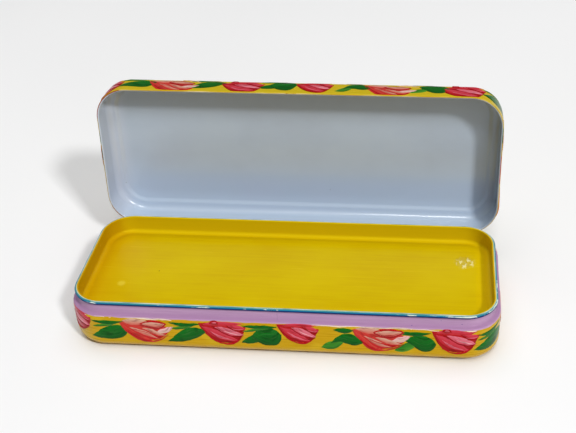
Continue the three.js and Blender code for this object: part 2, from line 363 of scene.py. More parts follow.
class Shader:
    """A material under construction: each method adds one node and returns its output."""

    def __init__(self, name):
        self.material = bpy.data.materials.new(name)
        self.material.use_nodes = True
        self.tree = self.material.node_tree
        self.surface = self.tree.nodes["Principled BSDF"]

    def node(self, kind, values=None, **settings):
        made = self.tree.nodes.new(kind)
        for key, value in settings.items():
            setattr(made, key, value)
        for key, value in (values or {}).items():
            self.give(made.inputs[key], value)
        return made

    def give(self, socket, value):
        if isinstance(value, bpy.types.NodeSocket):
            self.tree.links.new(value, socket)
        else:
            socket.default_value = value

    def set(self, **values):
        """Gives the surface its values, each named as its socket with _ for a space."""
        for key, value in values.items():
            self.give(self.surface.inputs[key.replace("_", " ")], value)
        return self.material

    def paint(self, shade, roughness, normal, shine=0.4):
        """Makes the surface a paint whose shine has the paint's own colour."""
        return self.set(
            Base_Color=shade,
            Roughness=roughness,
            Specular_IOR_Level=shine,
            Specular_Tint=shade,
            Normal=normal,
        )

    def attribute(self, name, output="Vector"):
        return self.node("ShaderNodeAttribute", attribute_name=name).outputs[output]

    def scaled(self, vector, scale, shift=(0, 0, 0)):
        mapping = self.node("ShaderNodeMapping", {"Vector": vector, "Scale": scale, "Location": shift})
        return mapping.outputs["Vector"]

    def noise(self, vector, detail=3.0, roughness=0.5, distortion=0.0):
        values = {
            "Vector": vector,
            "Scale": 1.0,
            "Detail": detail,
            "Roughness": roughness,
            "Distortion": distortion,
        }
        return self.node("ShaderNodeTexNoise", values).outputs["Fac"]

    def cells(self, vector):
        """The distance to the nearest of scattered points."""
        return self.node("ShaderNodeTexVoronoi", {"Vector": vector, "Scale": 1.0}).outputs["Distance"]

    def near(self, vector, point, radius):
        """1 close to a point, falling to 0 at a radius from it."""
        away = self.node("ShaderNodeVectorMath", operation="DISTANCE")
        self.give(away.inputs[0], vector)
        self.give(away.inputs[1], point)
        return self.step(away.outputs["Value"], radius, radius * 0.4)

    def component(self, vector, axis):
        return self.node("ShaderNodeSeparateXYZ", {"Vector": vector}).outputs[axis]

    def maths(self, operation, first, second=0.0):
        made = self.node("ShaderNodeMath", operation=operation)
        self.give(made.inputs[0], first)
        self.give(made.inputs[1], second)
        return made.outputs[0]

    def plus(self, first, second):
        return self.maths("ADD", first, second)

    def times(self, first, second):
        return self.maths("MULTIPLY", first, second)

    def between(self, value, low, high, fade):
        """1 from low to high, fading out to 0 over fade each side."""
        rising = self.step(value, low - fade, low)
        return self.times(rising, self.step(value, high + fade, high))

    def step(self, value, low, high):
        """0 below low, 1 above high and a smooth rise between; high may be the lower one."""
        made = self.node("ShaderNodeMapRange", interpolation_type="SMOOTHSTEP")
        flipped = high < low
        self.give(made.inputs["Value"], value)
        self.give(made.inputs["From Min"], min(low, high))
        self.give(made.inputs["From Max"], max(low, high))
        self.give(made.inputs["To Min"], 1.0 if flipped else 0.0)
        self.give(made.inputs["To Max"], 0.0 if flipped else 1.0)
        return made.outputs["Result"]

    def mix(self, amount, first, second, blend="MIX"):
        made = self.node("ShaderNodeMix", data_type="RGBA", blend_type=blend)
        self.give(made.inputs[0], amount)
        self.give(made.inputs[6], first)
        self.give(made.inputs[7], second)
        return made.outputs[2]

    def ramp(self, value, stops):
        made = self.node("ShaderNodeValToRGB", {"Fac": value})
        elements = made.color_ramp.elements
        while len(elements) < len(stops):
            elements.new(0.5)
        for element, (place, shade) in zip(elements, stops):
            element.position = place
            element.color = shade
        return made.outputs["Color"]

    def facing_up(self):
        """1 where the surface faces straight up, 0 where it is upright, -1 where it faces down."""
        return self.component(self.node("ShaderNodeNewGeometry").outputs["Normal"], "Z")

    def bump(self, height, distance, normal=None):
        """A normal from a height pattern whose full range stands for that many millimetres."""
        made = self.node("ShaderNodeBump", {"Height": height, "Distance": distance * MM})
        if normal is not None:
            self.give(made.inputs["Normal"], normal)
        return made.outputs["Normal"]


YELLOW_DARK = colour(172, 128, 8)
YELLOW = colour(196, 154, 12)
YELLOW_LIGHT = colour(208, 174, 30)
LID_YELLOW = colour(202, 186, 34)
LILAC = colour(187, 150, 184)
LILAC_PAINTED_SHADE = colour(170, 132, 168)  # painted shade: lilac that faces up is darkened, as lit from above it would otherwise look paler than the neck
CREAM = colour(238, 218, 196)

# Distances round the base: where the rim is chipped most, and a knock in it.
CHIPPED_RISE, CHIPPED_FALL = (45.0, 60.0), (125.0, 105.0)
KNOCK_ON_RIM = (117.0, 124.0)
KNOCK_ON_NECK = (119.0, 122.0)

# Places in the tray: a wrinkled patch whose ridges carry painted glints, and a painted highlight on the
# floor.
WRINKLE_AT, WRINKLE_RADIUS = (84.0, 15.0, 18.0), 6.0
FLOOR_GLINT_AT, FLOOR_GLINT_RADIUS = (-80.4, -10.8, 18.4), 2.6

# Where the garland's paint reaches the lid's hem: distances round the lid, and the colour.
HEM_TOUCHES = (
    (110.0, 117.0, colour(20, 84, 26)),
    (125.0, 139.0, colour(170, 30, 44)),
    (393.0, 398.0, colour(60, 96, 40)),
    (402.0, 407.0, colour(60, 96, 40)),
    (416.0, 437.0, colour(140, 34, 30)),
)


def outer_enamel():
    """Yellow enamel brushed on along the walls, with the neck's lilac lapping its upper edge and
    darkened as painted shade where it faces up.
    """
    s = Shader("outer_enamel")
    wrap = s.attribute("wrap")
    place = s.attribute("shut")
    height = s.component(place, "Z")
    streak = s.noise(s.scaled(wrap, (0.05, 1.4, 0.0)), detail=5.0, roughness=0.6)
    patch = s.noise(s.scaled(place, (0.05, 0.05, 0.12)), detail=2.0)
    shades = [(0.3, YELLOW_DARK), (0.45, YELLOW), (0.6, YELLOW), (0.8, YELLOW_LIGHT)]
    yellow = s.ramp(streak, shades)
    yellow = s.mix(s.times(s.step(patch, 0.5, 0.7), 0.6), yellow, YELLOW_LIGHT)
    wander = s.noise(s.scaled(wrap, (0.09, 0.0, 0.0)), detail=2.0)
    edge = s.plus(height, s.times(wander, 2.2))
    on_base = s.step(height, SHOULDER_Z + 0.1, SHOULDER_Z + 0.05)
    on_lid = s.maths("SUBTRACT", 1.0, on_base)
    yellow = s.mix(s.times(on_lid, 0.6), yellow, LID_YELLOW)
    lap = s.times(s.step(edge, SHOULDER_Z + 0.35, SHOULDER_Z + 0.5), on_base)
    facing = s.facing_up()
    # painted shade: the lilac is darkened where it faces up
    lilac = s.mix(s.step(facing, 0.1, 0.9), LILAC, LILAC_PAINTED_SHADE)
    shade = s.mix(lap, yellow, lilac)
    rough = s.step(streak, 0.2, 0.8)
    return s.paint(shade, s.plus(0.22, s.times(rough, 0.12)), s.bump(streak, 0.03))


def neck_paint():
    """Lilac brushed round the neck and shoulder, thin in places, darkened as painted shade where it
    faces up.
    """
    s = Shader("neck_lilac")
    wrap = s.attribute("wrap")
    facing = s.facing_up()
    streak = s.noise(s.scaled(wrap, (0.04, 1.0, 0.0)), detail=4.0)
    shades = [(0.3, colour(180, 142, 178)), (0.55, LILAC), (0.8, colour(196, 160, 192))]
    shade = s.ramp(streak, shades)
    # painted shade: the lilac is darkened where it faces up
    shade = s.mix(s.step(facing, 0.1, 0.9), shade, LILAC_PAINTED_SHADE)
    nick = s.cells(s.scaled(wrap, (0.11, 0.3, 0.0)))
    shade = s.mix(s.step(nick, 0.05, 0.03), shade, colour(96, 82, 140))
    knocked = s.between(s.component(wrap, "X"), *KNOCK_ON_NECK, 1.5)
    shade = s.mix(s.times(knocked, s.step(streak, 0.42, 0.5)), shade, colour(70, 84, 110))
    return s.paint(shade, 0.3, s.bump(streak, 0.02))


def bead_paint():
    """The rolled rim: blue on its face, a painted highlight in teal on top and painted shadow in navy
    underneath, chipped to bright metal.
    """
    s = Shader("bead_blue")
    wrap = s.attribute("wrap")
    facing = s.facing_up()
    along = s.noise(s.scaled(wrap, (0.03, 0.3, 0.0)), detail=3.0)
    blues = [(0.35, colour(26, 104, 128)), (0.5, colour(18, 98, 150)), (0.7, colour(30, 122, 158))]
    face = s.ramp(along, blues)
    # painted shadow: navy where the rim faces down
    shade = s.mix(s.step(facing, 0.6, 0.34), face, colour(22, 38, 92))
    # painted highlight: teal where the rim faces up
    shade = s.mix(s.step(facing, 0.7, 0.95), shade, colour(60, 136, 142))
    chip = s.noise(s.scaled(wrap, (0.1, 0.6, 0.0), (3.0, 0.0, 0.0)), detail=4.0, roughness=0.7)
    distance = s.component(wrap, "X")
    more_chips = s.times(s.step(distance, *CHIPPED_RISE), s.step(distance, *CHIPPED_FALL))
    chip = s.plus(chip, s.times(more_chips, 0.09))
    knocked = s.between(distance, *KNOCK_ON_RIM, 2.0)
    chip = s.plus(chip, s.times(knocked, 0.12))
    chipped = s.times(s.step(chip, 0.6, 0.63), s.step(facing, 0.3, 0.6))
    shade = s.mix(chipped, shade, colour(205, 215, 205))
    return s.paint(shade, 0.28, s.bump(chip, 0.04))


def inside_lacquer():
    """The tin's own pale grey-blue lacquer, clouded and faintly scratched. Light and shade are painted
    into it:
    painted light, paler and bluer, towards the hinge; painted shadow, darker and greyer, towards the
    lid's free edge; painted light at the left end and painted shade at the right end."""
    s = Shader("inside_lacquer")
    place = s.attribute("shut")
    cloud = s.noise(s.scaled(place, (0.02, 0.03, 0.03)), detail=4.0, roughness=0.6)
    greys = [(0.3, colour(168, 180, 195)), (0.5, colour(173, 186, 201)), (0.75, colour(178, 191, 204))]
    shade = s.ramp(cloud, greys)
    back = s.component(place, "Y")
    # painted light: paler and bluer towards the hinge
    shade = s.mix(s.step(back, 2.0, 24.0), shade, colour(180, 196, 214))
    # painted shadow: darker and greyer towards the lid's free edge, under its skirt
    shade = s.mix(s.step(back, -12.0, -36.0), shade, colour(139, 145, 146))
    across = s.component(place, "X")
    # painted light at the left end and painted shade at the right end
    shade = s.mix(s.step(across, -88.0, -99.0), shade, colour(190, 198, 211))
    shade = s.mix(s.step(across, 88.0, 99.0), shade, colour(158, 170, 182))
    rub = s.noise(s.scaled(place, (0.02, 1.8, 0.4)), detail=6.0, roughness=0.7)
    speck = s.cells(s.scaled(place, (0.06, 0.06, 0.06)))
    shade = s.mix(s.step(speck, 0.022, 0.012), shade, colour(158, 168, 180))
    return s.set(
        Base_Color=shade,
        Roughness=s.plus(0.16, s.times(rub, 0.16)),
        Coat_Weight=0.42,
        Coat_Roughness=0.08,
        Normal=s.bump(rub, 0.012),
    )


def hem_paint():
    """The curled edge of the lid's skirt: yellow dragged thin over cream primer, and touched by the
    garland's red and green where that runs round the two ends."""
    s = Shader("hem_cream")
    wrap = s.attribute("wrap")
    distance = s.component(wrap, "X")
    drag = s.noise(s.scaled(wrap, (0.06, 0.8, 0.0)), detail=5.0, roughness=0.6)
    shades = [(0.35, YELLOW_DARK), (0.5, colour(170, 146, 60)), (0.62, colour(196, 176, 130))]
    shade = s.ramp(drag, shades)
    for low, high, paint in HEM_TOUCHES:
        shade = s.mix(s.between(distance, low, high, 1.0), shade, paint)
    return s.paint(shade, 0.35, s.bump(drag, 0.05), shine=0.3)


def tray_enamel():
    """Stronger yellow brushed lengthways over the tray's floor and round its walls, more orange to the
    left, with painted light on the right and back walls, painted glints on a wrinkled patch and a
    painted highlight on the floor."""
    s = Shader("tray_enamel")
    place = s.attribute("shut")
    streak = s.noise(s.scaled(place, (0.03, 0.8, 0.8)), detail=6.0, roughness=0.62, distortion=0.6)
    fine = s.noise(s.scaled(place, (0.08, 3.4, 2.0)), detail=3.0)
    cloud = s.noise(s.scaled(place, (0.025, 0.04, 0.03), (2.0, 5.0, 0.0)), detail=3.0)
    shades = [(0.3, colour(194, 162, 1)), (0.5, colour(199, 170, 1)), (0.75, colour(203, 175, 1))]
    shade = s.ramp(streak, shades)
    shade = s.mix(s.times(s.step(cloud, 0.45, 0.7), 0.5), shade, colour(206, 181, 4))
    shade = s.mix(s.times(s.step(cloud, 0.45, 0.25), 0.5), shade, colour(192, 156, 1))
    across = s.component(place, "X")
    shade = s.mix(s.step(across, -62.0, -116.0), shade, colour(190, 140, 4))
    # painted light: the right and back walls are painted paler
    shade = s.mix(s.step(across, 88.0, 98.0), shade, colour(212, 176, 14))
    shade = s.mix(s.step(s.component(place, "Y"), 30.0, 34.0), shade, colour(208, 179, 8))
    speck = s.cells(s.scaled(place, (0.07, 0.07, 0.07), (4.0, 1.0, 0.0)))
    shade = s.mix(s.step(speck, 0.03, 0.015), shade, colour(120, 96, 8))
    blend = s.plus(s.times(streak, 0.6), s.times(fine, 0.4))
    wrinkle = s.noise(s.scaled(place, (0.9, 0.4, 0.9)), detail=3.0)
    wrinkled = s.near(place, WRINKLE_AT, WRINKLE_RADIUS)
    # painted highlight: a pale spot on the floor standing for a glint of light
    floor_glint = s.near(place, FLOOR_GLINT_AT, FLOOR_GLINT_RADIUS)
    shade = s.mix(s.times(floor_glint, 0.5), shade, colour(222, 200, 60))
    # painted highlight: pale ridges in the wrinkled patch stand for glints of light
    ridge_glint = s.times(wrinkled, s.step(wrinkle, 0.52, 0.6))
    shade = s.mix(ridge_glint, shade, colour(232, 222, 150))
    brushed_normal = s.bump(blend, 0.008)
    return s.set(
        Base_Color=shade,
        Roughness=s.plus(0.14, s.times(streak, 0.2)),
        Specular_IOR_Level=s.plus(0.22, s.times(wrinkled, 0.4)),
        Specular_Tint=colour(255, 222, 60),
        Coat_Weight=wrinkled,
        Coat_Roughness=0.1,
        Normal=s.bump(s.times(wrinkle, wrinkled), 0.9, normal=brushed_normal),
    )


def lip_paint():
    """The tray's lip: pale in patches, with teal left from the rim's brush."""
    s = Shader("lip_pale")
    wrap = s.attribute("wrap")
    wear = s.noise(s.scaled(wrap, (0.07, 1.2, 0.0)), detail=5.0, roughness=0.65)
    shades = [(0.38, colour(70, 140, 140)), (0.5, colour(150, 190, 180)), (0.62, colour(214, 222, 205))]
    shade = s.ramp(wear, shades)
    return s.set(Base_Color=shade, Roughness=0.34, Coat_Weight=0.2, Normal=s.bump(wear, 0.04))


def tinplate():
    """Bare stamped tinplate with rolling lines, smudged with a little yellow."""
    s = Shader("hinge_tinplate")
    place = s.node("ShaderNodeTexCoord").outputs["Object"]
    grain = s.noise(s.scaled(place, (900.0, 90.0, 90.0)), detail=4.0)
    smudge = s.noise(s.scaled(place, (160.0, 160.0, 160.0), (0.3, 0.0, 0.0)), detail=4.0, roughness=0.6)
    metal = s.ramp(grain, [(0.3, colour(150, 148, 140)), (0.7, colour(196, 194, 186))])
    paint = s.step(smudge, 0.56, 0.6)
    return s.set(
        Base_Color=s.mix(paint, metal, YELLOW),
        Metallic=s.maths("SUBTRACT", 1.0, paint),
        Roughness=s.plus(0.25, s.times(grain, 0.2)),
        Normal=s.bump(grain, 0.02),
    )


def stroke_paint():
    """Artist's paint: the stroke's own colour, drawn into fine brush lines along the stroke."""
    s = Shader("painted_strokes")
    along = s.attribute("stroke")
    base = s.attribute("paint", "Color")
    hair = s.noise(s.scaled(along, (0.14, 2.2, 1.0)), detail=4.0, roughness=0.6)
    broad = s.noise(s.scaled(along, (0.2, 0.7, 1.0)), detail=2.0)
    lighter = s.mix(1.0, base, colour(62, 46, 44), "ADD")
    darker = s.mix(1.0, base, colour(186, 160, 160), "MULTIPLY")
    shade = s.mix(s.times(s.step(hair, 0.5, 0.7), 0.5), base, lighter)
    shade = s.mix(s.times(s.step(broad, 0.5, 0.3), 0.7), shade, darker)
    return s.paint(shade, 0.28, s.bump(hair, 0.05))


# ---- painted strokes ------------------------------------------------------------------------


class Band:
    """A wall to paint on, by distance round its plan and height up it and over its rounds."""

    EASING = 1.0  # strokes that run past the wall's free edge are drawn in to this near it

    def __init__(self, plan, rounds, edge_z, way):
        """Each round has its start, its radius, and 1 if the wall turns in going up or -1 going
        down; way is 1 if the wall stands above its free edge or -1 if it hangs below."""
        self.plan, self.rounds, self.edge_z, self.way = plan, rounds, edge_z, way

    def kept_on(self, height):
        """The height, drawn in so that it never reaches the free edge."""
        room = (height - self.edge_z) * self.way
        if room < self.EASING:
            room = self.EASING * math.exp(room / self.EASING - 1)
        return self.edge_z + room * self.way

    def spot(self, distance, height, lift):
        """The point on the wall, raised off it by lift."""
        core, normal = self.plan.at(distance)
        z, inset = self.kept_on(height), -lift
        for start_z, radius, way in self.rounds:
            turn = (z - start_z) * way / radius
            if turn > 0:
                inset = radius * (1 - math.cos(turn)) - lift * math.cos(turn)
                z = start_z + way * (radius + lift) * math.sin(turn)
        x, y = self.plan.point(core, normal, inset)
        return (x, y, z)


class LidTop:
    """The flat outside of the lid, painted as seen from behind when it stands open."""

    def spot(self, across, up, lift):
        x, y = -across, -up
        inset = min(lid_plan.half_y + LID_CORNER - abs(y), lid_plan.half_x + LID_CORNER - abs(x))
        return (x, y, LID_TOP_Z + LID_PANEL_RISE + ripple(x, y, inset) + lift)


def bezier(points, part):
    """A point on the Bezier curve of any number of control points."""
    points = [Vector(point) for point in points]
    while len(points) > 1:
        points = [a.lerp(b, part) for a, b in zip(points, points[1:])]
    return points[0]


def pad(start, lower, upper, end, low_paint, high_paint):
    """A stroke between two curves from start to end, each bent by its own control points."""
    return [start, *lower, end], [start, *upper, end], low_paint, high_paint


def brushed(points, width, low_paint, high_paint):
    """A stroke along a curve of three control points."""
    start, middle, end = (Vector(point) for point in points)
    side = Vector((start.y - end.y, end.x - start.x)).normalized() * width
    return [start, middle - side, end], [start, middle + side, end], low_paint, high_paint


WOBBLE_X, WOBBLE_Y, WOBBLE_TURNS = 1.3, 1.1, 0.09  # how far a shape strays, and turns per mm
RAGGED, RAGGED_TURNS = 0.3, 0.6  # the same for the roughness of its edges


def placing(across, up, scale=1.0, lean=0.0, seed=0.0):
    """Puts a motif's own point on the wall, a little wobbly as if drawn by hand."""
    cos, sin = math.cos(lean) * scale, math.sin(lean) * scale

    def place(point):
        wobble = noise.noise_vector(Vector((point.x * WOBBLE_TURNS, point.y * WOBBLE_TURNS, seed)))
        ragged = noise.noise_vector(Vector((point.x * RAGGED_TURNS, point.y * RAGGED_TURNS, seed)))
        px = point.x + WOBBLE_X * wobble.x + RAGGED * ragged.x
        py = point.y + WOBBLE_Y * wobble.y + RAGGED * ragged.y
        return across + px * cos - py * sin, up + px * sin + py * cos

    return place


class Picture:
    """Collects painted strokes on one surface and writes them as one mesh of thin closed pads."""

    LONG_STEPS, CROSS_STEPS = 20, 6
    MARK_STEP = 1.37  # sets each stroke's number apart, so that no two share their brush lines
    THICK = 0.1
    SUNK = 0.04  # how far a stroke's edge lies under the enamel
    LAYER = 0.018  # each later stroke of a motif stands this much higher

    def __init__(self, surface):
        self.surface = surface
        self.verts, self.faces, self.strokes, self.paints = [], [], [], []
        self.mark = 0.0

    def add(self, place, flat, lift, stroke, paint):
        self.verts.append(self.surface.spot(*place(flat), lift))
        self.strokes.append(stroke)
        self.paints.append(paint)
        return len(self.verts) - 1

    def petal(self, place, lower, upper, low_paint, high_paint, layer):
        """One pad between two curves that share their ends, shaded from the lower to the upper."""
        self.mark += self.MARK_STEP
        length = (Vector(lower[-1]) - Vector(lower[0])).length
        top, under = [], []
        for i in range(self.LONG_STEPS + 1):
            part = 0.5 - 0.5 * math.cos(math.pi * i / self.LONG_STEPS)
            low, high = bezier(lower, part), bezier(upper, part)
            width = (high - low).length
            for j in range(self.CROSS_STEPS + 1):
                across = j / self.CROSS_STEPS
                flat = low.lerp(high, across)
                stroke = (part * length, across * width, self.mark)
                paint = [a + (b - a) * across for a, b in zip(low_paint, high_paint)]
                at_edge = i in (0, self.LONG_STEPS) or j in (0, self.CROSS_STEPS)
                lift = -self.SUNK if at_edge else self.THICK + self.LAYER * layer
                top.append(self.add(place, flat, lift, stroke, paint))
                if at_edge:
                    under.append(top[-1])
                else:
                    under.append(self.add(place, flat, -2 * self.SUNK, stroke, paint))
        row = self.CROSS_STEPS + 1
        for i in range(self.LONG_STEPS):
            for j in range(self.CROSS_STEPS):
                corners = [i * row + j, (i + 1) * row + j, (i + 1) * row + j + 1, i * row + j + 1]
                self.faces.append([top[corner] for corner in corners])
                self.faces.append([under[corner] for corner in reversed(corners)])

    def motif(self, place, petals):
        """Paints a motif's strokes one over another."""
        for layer, (lower, upper, low_paint, high_paint) in enumerate(petals):
            self.petal(place, lower, upper, low_paint, high_paint, layer)

    def write(self, name, material, turned):
        slots = [0] * len(self.faces)
        layers = {"stroke": self.strokes}
        return finish_mesh(name, self.verts, self.faces, slots, [material], turned, layers, self.paints)


# ---- motifs: strokes in the order they are painted, in millimetres about the motif's middle ------

CRIMSON = colour(150, 10, 18)
RED = colour(186, 20, 26)
CORAL = colour(204, 70, 58)
ROSE = colour(204, 66, 84)
PINK = colour(220, 122, 138)
BLUSH = colour(234, 178, 182)
BEIGE = colour(206, 174, 150)
IVORY = colour(236, 220, 192)
GREEN_DARK = colour(6, 80, 20)
GREEN = colour(12, 108, 24)
GREEN_LIGHT = colour(72, 142, 38)

DEEP_ROSE = [
    pad((-11.4, 5), [(-9, -9), (8, -12)], [(-4, 8), (4, 5)], (11, 5), CRIMSON, RED),
    pad((-9.5, 4.4), [(-4, 3), (3, 3.4)], [(-5, 8.6), (3, 7.6)], (9.6, 7), RED, ROSE),
    pad((-9.8, 3.4), [(-7.6, -4.6), (0, -6.2)], [(-4, 3.8), (2, 0.6)], (7, -4.4), RED, ROSE),
    pad((-6.4, 0.6), [(-4, -3.4), (0, -4.6)], [(-3, -1.4), (0, -2.6)], (5, -4.2), ROSE, PINK),
    pad((-4.4, 3.4), [(0, -1.8), (5, -3.2)], [(1, 5.2), (6, 3.2)], (9.6, -0.6), ROSE, PINK),
    pad((-0.4, 1.4), [(3, -0.6), (6, -1.2)], [(3.4, 1), (6.4, 0.2)], (8.6, -0.8), PINK, BLUSH),
    pad((2.4, 4.8), [(5, 2.2), (8, 1.6)], [(5.4, 6), (9, 6.4)], (10.8, 3.4), RED, ROSE),
    brushed([(4.6, 3.4), (7.6, 2.6), (10.2, 3.4)], 0.8, ROSE, PINK),
    brushed([(-9.4, 2.6), (-7, -6.4), (2.6, -6.8)], 0.7, CRIMSON, RED),
    brushed([(-4.6, 3.2), (1, -2.8), (9.2, -1.4)], 0.45, CRIMSON, CRIMSON),
    brushed([(1.4, 5.2), (5, 2), (9.8, 2)], 0.4, CRIMSON, CRIMSON),
    brushed([(-3, -5.8), (5, -8.6), (9.6, 0)], 1.1, CRIMSON, RED),
]

CURL = [
    pad((-6.4, 5.6), [(-6, 4.4), (-3, 4.4)], [(-6, 9.2), (-3, 9)], (-2.4, 5.6), CRIMSON, RED),
    pad((-5.4, 6), [(-5, 5.4), (-3.6, 5.4)], [(-5, 7.6), (-3.6, 7.6)], (-3.2, 6), ROSE, PINK),
]

PALE_ROSE = [
    pad((-13, 4.8), [(-8, -8), (7, -11)], [(-4, 8), (5, 6)], (11.6, 1), RED, CORAL),
    pad((-13, 4.8), [(-10, -5), (-4, -9)], [(-8, 3), (-5, -3)], (2.4, -6.8), RED, CORAL),
    pad((-11.4, 5.2), [(-6, 0.6), (-2, 1.6)], [(-7, 7.4), (-3, 7)], (1, 5), CORAL, BEIGE),
    pad((-7.8, 1.4), [(-4, -3.4), (0, -5.4)], [(-2, 1), (2, -2.6)], (5.4, -5), CORAL, BEIGE),
    pad((-2.4, 1), [(1, -2.8), (5, -4.4)], [(3, 1.4), (6, -1)], (9, -3), CORAL, BEIGE),
    pad((4.6, -0.8), [(8, -3.4), (11, -2)], [(7.4, 2), (10.6, 2.4)], (13, 1.6), BEIGE, BLUSH),
    pad((-3.2, 3.6), [(1, -1.6), (7, -1)], [(0, 7.6), (7.4, 7)], (10.4, 3.8), CRIMSON, RED),
    pad((-2.2, 3.6), [(1.4, -0.2), (6.6, 0.2)], [(0.4, 6.5), (7, 6.1)], (9.4, 3.8), CORAL, BEIGE),
    brushed([(-1.6, 3.4), (3.4, 0.6), (8.2, 3.6)], 0.6, CRIMSON, CRIMSON),
    brushed([(-10, 0.4), (-5.4, -6.6), (2.6, -6.8)], 0.8, CRIMSON, RED),
    brushed([(-6.6, 0.4), (0, -1.6), (5.4, -5)], 0.45, RED, RED),
    brushed([(-1, -6.8), (6, -7.4), (10.4, -2.4)], 0.9, RED, CORAL),
    brushed([(3, 7), (8, 7.8), (13.5, 5.8)], 0.8, BEIGE, IVORY),
]

LONG_STEM = brushed([(-9.4, 5), (-1, 3.2), (7, 5.8)], 2.6, GREEN_DARK, GREEN)
SHORT_STEM = brushed([(-9, 1.6), (-4, 2), (3, 3.8)], 1.9, GREEN_DARK, GREEN_LIGHT)

BLOB_LEAF = [
    pad((-9.6, -5), [(-5, -7), (-1, -5.4)], [(-7, -1), (-2, 2.4)], (3, -1), GREEN_DARK, GREEN),
    pad((-5, -1.6), [(1, -9), (9, -8)], [(-1, 7), (6, 7)], (9, 1), GREEN_DARK, GREEN),
    brushed([(-4, -2.4), (2.4, 2.4), (7.4, 1)], 1.2, GREEN, GREEN),
    LONG_STEM,
    SHORT_STEM,
]

ARCHED_LEAF = [
    pad((-10.4, -6), [(-6, -7.6), (-3, -6)], [(-8, -1.6), (-4, 1)], (-1, -2.2), GREEN, GREEN_LIGHT),
    pad((-6.4, -3), [(0, 0.4), (2, -7.6)], [(-3, 5.6), (7, 5.6)], (8.2, -2), GREEN_DARK, GREEN),
    brushed([(-5, 5.2), (-0.6, 4.4), (5, 5.4)], 3.6, GREEN_DARK, GREEN),
]

TWO_TONE_LEAF = [
    pad((-9, -6.4), [(-4, -7.4), (-1, -5)], [(-8, -2), (-3, 0.4)], (0.6, -1), GREEN_LIGHT, GREEN),
    pad((-5, 0.8), [(1, -8.6), (9, -7.6)], [(0, 5.6), (8, 5.6)], (9.6, -1), GREEN_DARK, GREEN),
    LONG_STEM,
]

PLAIN_LEAF = [
    pad((-10.4, -4.6), [(-2, -7.6), (8, -7.6)], [(-4, 1), (2, 7)], (9, 0.6), GREEN_DARK, GREEN),
    LONG_STEM,
    SHORT_STEM,
]

POINTED_LEAF = [
    pad((-10.6, -6.6), [(-3, -7.4), (6, -5)], [(-5, 0), (1, 7.6)], (9, 0.8), GREEN_DARK, GREEN),
    LONG_STEM,
    SHORT_STEM,
]

LEAVES = [BLOB_LEAF, ARCHED_LEAF, TWO_TONE_LEAF, PLAIN_LEAF, POINTED_LEAF]

# ---- where the motifs go ----------------------------------------------------------------------------

ROSE_COUNT = 15
FIRST_ROSE = 9.1  # right of the middle of the front
ROSE_PITCH = 35.6  # along the front
LEAF_OFFSET = -17.3
FRONT_ROSES = 3  # roses each side of the first one that keep that pitch
ROSE_STRAY, LEAF_STRAY = 1.2, 0.8  # along the wall
SIZE_SPREAD = (0.94, 1.04)
LEAN_SPREAD = (-0.08, 0.08)
LEAF_REACH, ROSE_REACH = 8.0, 11.0  # half widths that have to clear a hinge leaf

# Roses follow each other in threes: a bud, a pale rose, and a deep one with a curl at its top.
BUD, PALE, CURLED = 0, 1, 2
BUD_SCALE = 0.84
BUD_LIFT = 8.0 * (1 - BUD_SCALE)  # keeps a bud's top level with the others

BASE_ROSE_HEIGHT = 12.6
BASE_LEAF_HEIGHT = 12.0
LID_ROSE_HEIGHT = LID_EDGE_Z + 6.0
LID_LEAF_HEIGHT = LID_EDGE_Z + 9.8


def rose_distance(plan, index):
    """Distance round the plan to a rose: evenly pitched at the front, then evenly shared."""
    edge = FIRST_ROSE + FRONT_ROSES * ROSE_PITCH
    if index <= FRONT_ROSES:
        return FIRST_ROSE + index * ROSE_PITCH
    left = plan.perimeter - 2 * FRONT_ROSES * ROSE_PITCH
    return edge + left * (index - FRONT_ROSES) / (ROSE_COUNT - 2 * FRONT_ROSES)


def hidden_by_hinge(plan, distance, reach):
    """Whether a motif at that distance would run under a hinge leaf on the back wall."""
    core, normal = plan.at(distance)
    if normal.y < 0.9:
        return False
    spans = [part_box(name) for name in hinge_leaves]
    return any(low.x / MM - reach < core.x < high.x / MM + reach for low, high in spans)


def painted_band(name, surface, rose_height, leaf_height, material, turned, seed):
    """A garland of roses and leaves all the way round a wall."""
    rng = random.Random(seed)
    picture = Picture(surface)
    for index in range(-FRONT_ROSES, ROSE_COUNT - FRONT_ROSES):
        kind = index % 3
        rose_at = rose_distance(surface.plan, index) + rng.uniform(-ROSE_STRAY, ROSE_STRAY)
        leaf_at = rose_at + LEAF_OFFSET + rng.uniform(-LEAF_STRAY, LEAF_STRAY)
        scale, lean = rng.uniform(*SIZE_SPREAD), rng.uniform(*LEAN_SPREAD)
        if not hidden_by_hinge(surface.plan, leaf_at, LEAF_REACH):
            place = placing(leaf_at, leaf_height, scale, lean / 2, seed + index)
            picture.motif(place, LEAVES[index % len(LEAVES)])
        if not hidden_by_hinge(surface.plan, rose_at, ROSE_REACH):
            rose = PALE_ROSE if kind == PALE else DEEP_ROSE
            curl = CURL if kind == CURLED else []
            lift = BUD_LIFT if kind == BUD else 0.0
            size = scale * BUD_SCALE if kind == BUD else scale
            picture.motif(placing(rose_at, rose_height + lift, size, lean, seed - index), rose + curl)
    return picture.write(name, material, turned)


# The spray on the lid's top: leaves in pairs at three distances from its middle, then the roses,
# each with its place across and up, its scale and its strokes.
SPRAY_LEAF_DISTANCES = (26.0, 47.0, 66.0)
SPRAY_ROSES = (
    (0, -1, 1.7, DEEP_ROSE),
    (-34, 3, 1.35, DEEP_ROSE),
    (35, -3, 1.35, DEEP_ROSE),
    (-61, -3, 0.95, PALE_ROSE),
    (61, 4, 0.95, PALE_ROSE),
)


